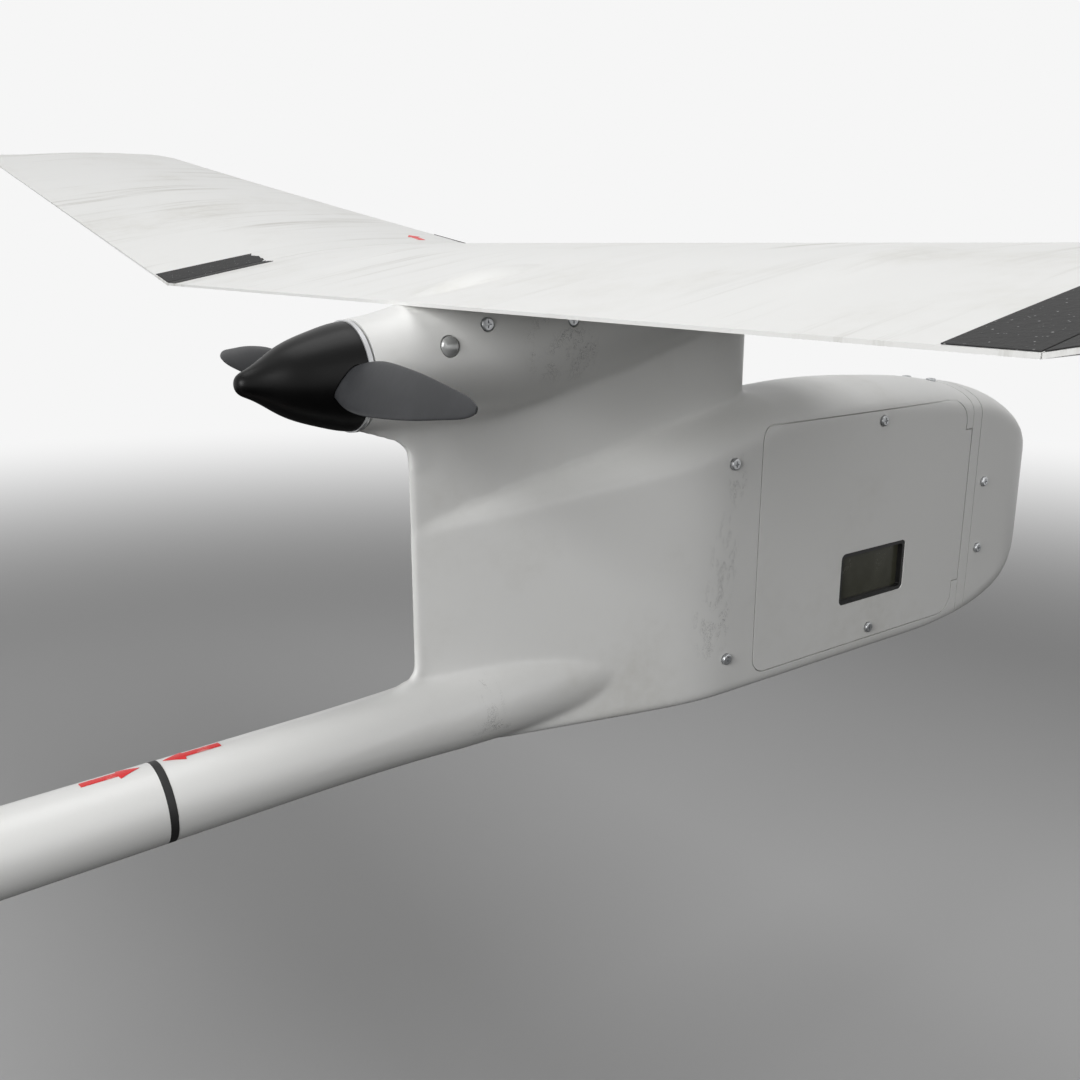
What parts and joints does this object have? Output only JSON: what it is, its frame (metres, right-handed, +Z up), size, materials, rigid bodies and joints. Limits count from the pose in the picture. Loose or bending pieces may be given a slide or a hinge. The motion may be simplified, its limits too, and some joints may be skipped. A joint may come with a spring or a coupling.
{
  "type": "fixed wing drone",
  "caption": "Hand-launched fixed wing drone: boxy equipment pod, pylon-mounted three-piece wing, pusher propeller and pull-off tail boom.",
  "frame": {"origin": "under the middle of the whole object's length, on the centre line, at the height of its lowest point (the rear end of the tail boom)", "axes": "+X forward to the nose, +Y to port along the wing, +Z up"},
  "size_m": [0.9152, 1.372, 0.2914],
  "materials": {
    "aluminium": "machined",
    "battery_wrap": "shrink wrap",
    "black_plastic": "matte",
    "board_green": "solder mask",
    "carbon": "carbon tube",
    "ceramic_patch": "matte",
    "composite_tray": "moulded",
    "copper_winding": "lacquered winding",
    "lens_glass": "coated",
    "prop_plastic": "satin",
    "rubber_black": "soft",
    "shell_paint": "satin, faint grime",
    "spinner_black": "gloss",
    "steel": "bright",
    "strap_fabric": "woven",
    "tail_foam": "satin white paint",
    "tape_black": "textured tape",
    "window_glass": "tinted, clear",
    "wing_skin": "satin white paint on a composite skin"
  },
  "bodies": {
    "airframe": {"fuselage_shell": "shell_paint", "access_panel": "shell_paint", "window_bezel": "black_plastic", "camera_window": "window_glass", "nose_ring": "shell_paint", "nose_cap": "shell_paint", "panel_screws": "steel", "shell_screws": "steel", "wing_centre": "wing_skin", "centre_spar": "carbon", "wing_joiner_port": "carbon", "wing_joiner_starboard": "carbon", "wing_tape_centre": "tape_black", "wing_bolts": "steel", "motor_mount": "aluminium", "motor_screws": "steel", "motor_stator": "copper_winding", "nacelle_plugs": "rubber_black", "boom_ferrule": "aluminium", "boom_joint_ring": "rubber_black", "battery_tray": "composite_tray", "battery_pack": "battery_wrap", "battery_strap": "strap_fabric", "autopilot_board": "board_green", "board_standoffs": "aluminium", "radio_module": "aluminium", "camera_body": "black_plastic", "camera_lens": "lens_glass", "camera_bracket": "aluminium", "speed_controller": "black_plastic", "gps_antenna": "ceramic_patch"},
    "propeller": {"motor_bell": "aluminium", "motor_shaft": "steel", "propeller": "prop_plastic", "prop_nut": "steel", "spinner": "spinner_black", "spinner_plate": "aluminium"},
    "port_wing": {"wing_panel_port": "wing_skin", "wing_spar_port": "carbon", "wing_tape_port": "tape_black"},
    "starboard_wing": {"wing_panel_starboard": "wing_skin", "wing_spar_starboard": "carbon", "wing_tape_starboard": "tape_black"},
    "tail": {"tail_boom": "shell_paint", "tail_saddle": "black_plastic", "stabiliser": "tail_foam", "fin": "tail_foam", "tail_screws": "steel", "hinge_pins": "steel", "tail_servos": "black_plastic", "servo_cradles": "black_plastic"},
    "elevator": {"elevator": "tail_foam", "elevator_horn": "black_plastic"},
    "rudder": {"rudder": "tail_foam", "rudder_horn": "black_plastic"},
    "elevator_arm": {"elevator_arm": "black_plastic"},
    "elevator_rod": {"elevator_pushrod": "steel"},
    "rudder_arm": {"rudder_arm": "black_plastic"},
    "rudder_rod": {"rudder_pushrod": "steel"}
  },
  "joints": [
    {"name": "prop_spin", "type": "hinge", "parent": "airframe", "child": "propeller", "pos_m": [0.00605, 0, 0.16718], "axis": [1, 0, 0], "continuous": true},
    {"name": "port_wing_pull", "type": "slide", "parent": "airframe", "child": "port_wing", "axis": [0, 0.977, 0.213], "range_m": [0, 0.08]},
    {"name": "starboard_wing_pull", "type": "slide", "parent": "airframe", "child": "starboard_wing", "axis": [0, -0.977, 0.213], "range_m": [0, 0.08]},
    {"name": "tail_pull", "type": "slide", "parent": "airframe", "child": "tail", "axis": [-0.9996, 0, -0.0279], "range_m": [0, 0.06]},
    {"name": "elevator_hinge", "type": "hinge", "parent": "tail", "child": "elevator", "pos_m": [-0.42473, 0, 0.02626], "axis": [0, 1, 0], "range_deg": [-25, 25]},
    {"name": "elevator_arm_hinge", "type": "hinge", "parent": "tail", "child": "elevator_arm", "pos_m": [-0.33884, 0, 0.0317], "axis": [0, 1, 0], "range_deg": [-25, 25]},
    {"name": "elevator_rod_hinge", "type": "hinge", "parent": "elevator_arm", "child": "elevator_rod", "pos_m": [-0.33848, 0, 0.01871], "axis": [0, 1, 0], "range_deg": [-25, 25]},
    {"name": "rudder_hinge", "type": "hinge", "parent": "tail", "child": "rudder", "pos_m": [-0.42479, 0, 0.02876], "axis": [-0.0279, 0, 0.9996], "range_deg": [-25, 25]},
    {"name": "rudder_arm_hinge", "type": "hinge", "parent": "tail", "child": "rudder_arm", "pos_m": [-0.28141, 0, 0.05277], "axis": [-0.0279, 0, 0.9996], "range_deg": [-25, 25]},
    {"name": "rudder_rod_hinge", "type": "hinge", "parent": "rudder_arm", "child": "rudder_rod", "pos_m": [-0.28141, 0.013, 0.05277], "axis": [-0.0279, 0, 0.9996], "range_deg": [-25, 25]}
  ],
  "couplings": [
    {"joint": "elevator_arm_hinge", "follows": "elevator_hinge", "ratio": 1},
    {"joint": "elevator_rod_hinge", "follows": "elevator_hinge", "ratio": -1},
    {"joint": "rudder_arm_hinge", "follows": "rudder_hinge", "ratio": 1},
    {"joint": "rudder_rod_hinge", "follows": "rudder_hinge", "ratio": -1}
  ]
}
